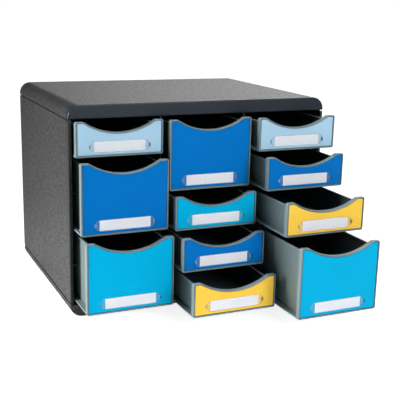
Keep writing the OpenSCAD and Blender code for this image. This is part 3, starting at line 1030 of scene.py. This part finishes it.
def add_clips(bm, d):
    """A clip in each slot, with a slope that leads it in and faces outwards."""
    middle = d.window_width / 2
    reach, half_h = d.clip_width / 2 - d.window_gap, d.clip_height / 2 - d.window_gap
    front, back = d.insert_recess + d.window - 2 * HAIR, d.insert_recess + d.insert + d.front_wall
    before = set(bm.verts)
    # The clips get the pale finish: a painted highlight
    mirrored_block(bm, (middle - reach, front, d.label_height - half_h),
                   (middle + reach, back, d.label_height + half_h), CLIP_FILLET, steps=1, finish=CLIP_HIGHLIGHT)
    outer = [v for v in added(bm.verts, before) if abs(v.co.x) > middle and v.co.y < (front + back) / 2]
    bmesh.ops.translate(bm, vec=(0, d.clip_slope, 0), verts=outer)


class CABINET_OT_labels(bpy.types.Operator):
    """Build the label cards and their clear windows"""
    bl_idname = "cabinet.labels"
    bl_label = "Labels"

    def execute(self, context):
        d = drawer_sizes()
        for number, body, place, *_ in drawers():
            card = card_mesh(*box_in_millimetres(f"{body}_label_card"), d.card_corner)
            add_piece(f"card_{number}", card, ("card",), body, "card", f"{body}_label_card")
            window, node = placed(window_mesh(d), place), f"{body}_label_window"
            add_piece(f"window_{number}", window, ("window", "clip", "edge"), body, "window", node)
        return {"FINISHED"}


# ---- Stage ----

def floor_material(glow):
    """Pale floor that glows white to the camera, less so near the cabinet, where its shadow stays."""
    material = bpy.data.materials.new("floor_pale")
    tree = empty_tree(material)
    place = add_node(tree, "TexCoord")
    distance = add_node(tree, "VectorMath", {0: place.outputs["Object"]}, operation="LENGTH")
    rise = map_range(tree, distance.outputs["Value"], GLOW_NEAR, GLOW_FAR, glow, 1.0)
    path = add_node(tree, "LightPath")
    inputs = {0: path.outputs["Is Camera Ray"], 1: rise}
    share = add_node(tree, "Math", inputs, operation="MULTIPLY")
    light = add_node(tree, "Emission", {"Color": WHITE, "Strength": share.outputs["Value"]})
    matt = add_node(tree, "BsdfDiffuse", {"Color": (0.8, 0.8, 0.8, 1)})
    both = add_node(tree, "AddShader", {0: matt.outputs["BSDF"], 1: light.outputs["Emission"]})
    add_node(tree, "OutputMaterial", {"Surface": both.outputs["Shader"]})
    return material


def set_world(ambient):
    """A world that is white for the camera, bright on one side for glossy faces, and dim for matt ones."""
    world = bpy.data.worlds.new("studio")
    bpy.context.scene.world = world
    tree = empty_tree(world)
    direction = add_node(tree, "TexCoord")
    inputs = {0: direction.outputs["Generated"], 1: BRIGHT_SIDE}
    bright_side = add_node(tree, "VectorMath", inputs, operation="DOT_PRODUCT")
    fade = map_range(tree, bright_side.outputs["Value"], BRIGHT_EDGE, 1.0, DARK_LEVEL, BRIGHT_LEVEL)
    dim = add_node(tree, "Background", {"Color": (0.92, 0.96, 1.0, 1), "Strength": ambient})
    mirrored = add_node(tree, "Background", {"Color": WHITE, "Strength": fade})
    white = add_node(tree, "Background", {"Color": WHITE, "Strength": 1.0})
    path = add_node(tree, "LightPath")
    glossy = add_node(tree, "MixShader", {
        "Fac": path.outputs["Is Glossy Ray"],
        1: dim.outputs["Background"], 2: mirrored.outputs["Background"]})
    inputs = {0: path.outputs["Is Camera Ray"], 1: path.outputs["Is Transmission Ray"]}
    straight = add_node(tree, "Math", inputs, operation="MAXIMUM")
    seen = add_node(tree, "MixShader", {
        "Fac": straight.outputs["Value"], 1: glossy.outputs["Shader"], 2: white.outputs["Background"]})
    add_node(tree, "OutputWorld", {"Surface": seen.outputs["Shader"]})


def add_softbox(name, place, target, size, spread, level, tint):
    """A soft area light; at level 1 a surface that faces it shows its own colour at the target."""
    place = Vector(place)
    aim = Vector(target) - place
    lamp = bpy.data.lights.new(name, "AREA")
    lamp.shape = "RECTANGLE"
    lamp.size, lamp.size_y = size
    lamp.spread = math.radians(spread)
    lamp.color = tint
    lamp.energy = level * math.pi ** 2 * aim.length_squared
    softbox = bpy.data.objects.new(name, lamp)
    softbox.matrix_world = Matrix.Translation(place) @ aim.to_track_quat("-Z", "Y").to_matrix().to_4x4()
    softbox.visible_camera = False
    bpy.context.collection.objects.link(softbox)


def add_camera(stage):
    """The camera, placed by its azimuth, elevation and roll."""
    azimuth, elevation, roll = stage.camera_azimuth, stage.camera_elevation, stage.camera_roll
    flat = math.cos(elevation)
    forward = Vector((-math.sin(azimuth) * flat, math.cos(azimuth) * flat, -math.sin(elevation)))
    level_right = Vector((math.cos(azimuth), math.sin(azimuth), 0))
    level_up = level_right.cross(forward)
    right = level_right * math.cos(roll) + level_up * math.sin(roll)
    up = level_up * math.cos(roll) - level_right * math.sin(roll)
    data = bpy.data.cameras.new("camera")
    data.lens = stage.lens
    data.sensor_width = SENSOR_WIDTH
    data.clip_start = 0.01
    camera = bpy.data.objects.new("camera", data)
    turn = Matrix((right, up, -forward)).transposed().to_4x4()
    camera.matrix_world = Matrix.Translation(stage.camera_place) @ turn
    bpy.context.collection.objects.link(camera)
    bpy.context.scene.camera = camera


class CABINET_OT_stage(bpy.types.Operator):
    """Set the floor, the light and the camera"""
    bl_idname = "cabinet.stage"
    bl_label = "Stage"

    def execute(self, context):
        stage = context.scene.stage_settings
        bm = bmesh.new()
        bmesh.ops.create_grid(bm, x_segments=8, y_segments=8, size=FLOOR_REACH)
        mesh = bpy.data.meshes.new("floor")
        bm.to_mesh(mesh)
        bm.free()
        mesh.materials.append(floor_material(stage.floor_glow))
        floor = bpy.data.objects.new("floor", mesh)
        context.collection.objects.link(floor)
        set_world(stage.ambient_level)
        add_softbox("softbox_left", place=(-1.25, 0.15, 0.46), target=(-0.05, -0.32, 0.06), size=(0.45, 0.5),
                    spread=70, level=stage.key_level, tint=(1.0, 0.99, 0.97))
        add_softbox("softbox_front", place=(0.48, -2.17, 1.0), target=(0.0, -0.2, 0.12), size=(1.0, 1.0),
                    spread=180, level=stage.front_level, tint=(0.97, 0.985, 1.0))
        add_softbox("softbox_top", place=(0.15, 0.05, 1.5), target=(0.0, -0.2, 0.1), size=(0.8, 0.8),
                    spread=180, level=stage.top_level, tint=(0.98, 0.99, 1.0))
        add_camera(stage)
        context.scene.view_settings.view_transform = "Standard"
        return {"FINISHED"}


# ---- Add-on ----

OPERATORS = (
    CABINET_OT_covers,
    CABINET_OT_side_panels,
    CABINET_OT_partitions,
    CABINET_OT_back_panel,
    CABINET_OT_feet,
    CABINET_OT_trays,
    CABINET_OT_inserts,
    CABINET_OT_labels,
    CABINET_OT_stage,
)


class CABINET_PT_panel(bpy.types.Panel):
    """Sidebar panel with the sizes, the colours and one button for each step"""
    bl_idname = "CABINET_PT_panel"
    bl_label = "Drawer cabinet"
    bl_space_type = "VIEW_3D"
    bl_region_type = "UI"
    bl_category = "Cabinet"

    def draw(self, context):
        for operator in OPERATORS:
            self.layout.operator(operator.bl_idname)
        for group in SETTINGS:
            settings = getattr(context.scene, group)
            box = self.layout.box()
            for key in settings.bl_rna.properties.keys():
                if key not in ("name", "rna_type"):
                    box.prop(settings, key)


SETTINGS = {
    "cabinet_sizes": CabinetSizes,
    "drawer_sizes": DrawerSizes,
    "cabinet_colours": CabinetColours,
    "stage_settings": StageSettings,
}


def register():
    for cls in (*SETTINGS.values(), *OPERATORS, CABINET_PT_panel):
        bpy.utils.register_class(cls)
    for name, group in SETTINGS.items():
        setattr(bpy.types.Scene, name, PointerProperty(type=group))


def unregister():
    for name in SETTINGS:
        delattr(bpy.types.Scene, name)
    for cls in reversed((*SETTINGS.values(), *OPERATORS, CABINET_PT_panel)):
        bpy.utils.unregister_class(cls)


def main():
    register()
    bpy.ops.cabinet.covers()
    bpy.ops.cabinet.side_panels()
    bpy.ops.cabinet.partitions()
    bpy.ops.cabinet.back_panel()
    bpy.ops.cabinet.feet()
    bpy.ops.cabinet.trays()
    bpy.ops.cabinet.inserts()
    bpy.ops.cabinet.labels()
    bpy.ops.cabinet.stage()


if __name__ == "__main__":
    main()
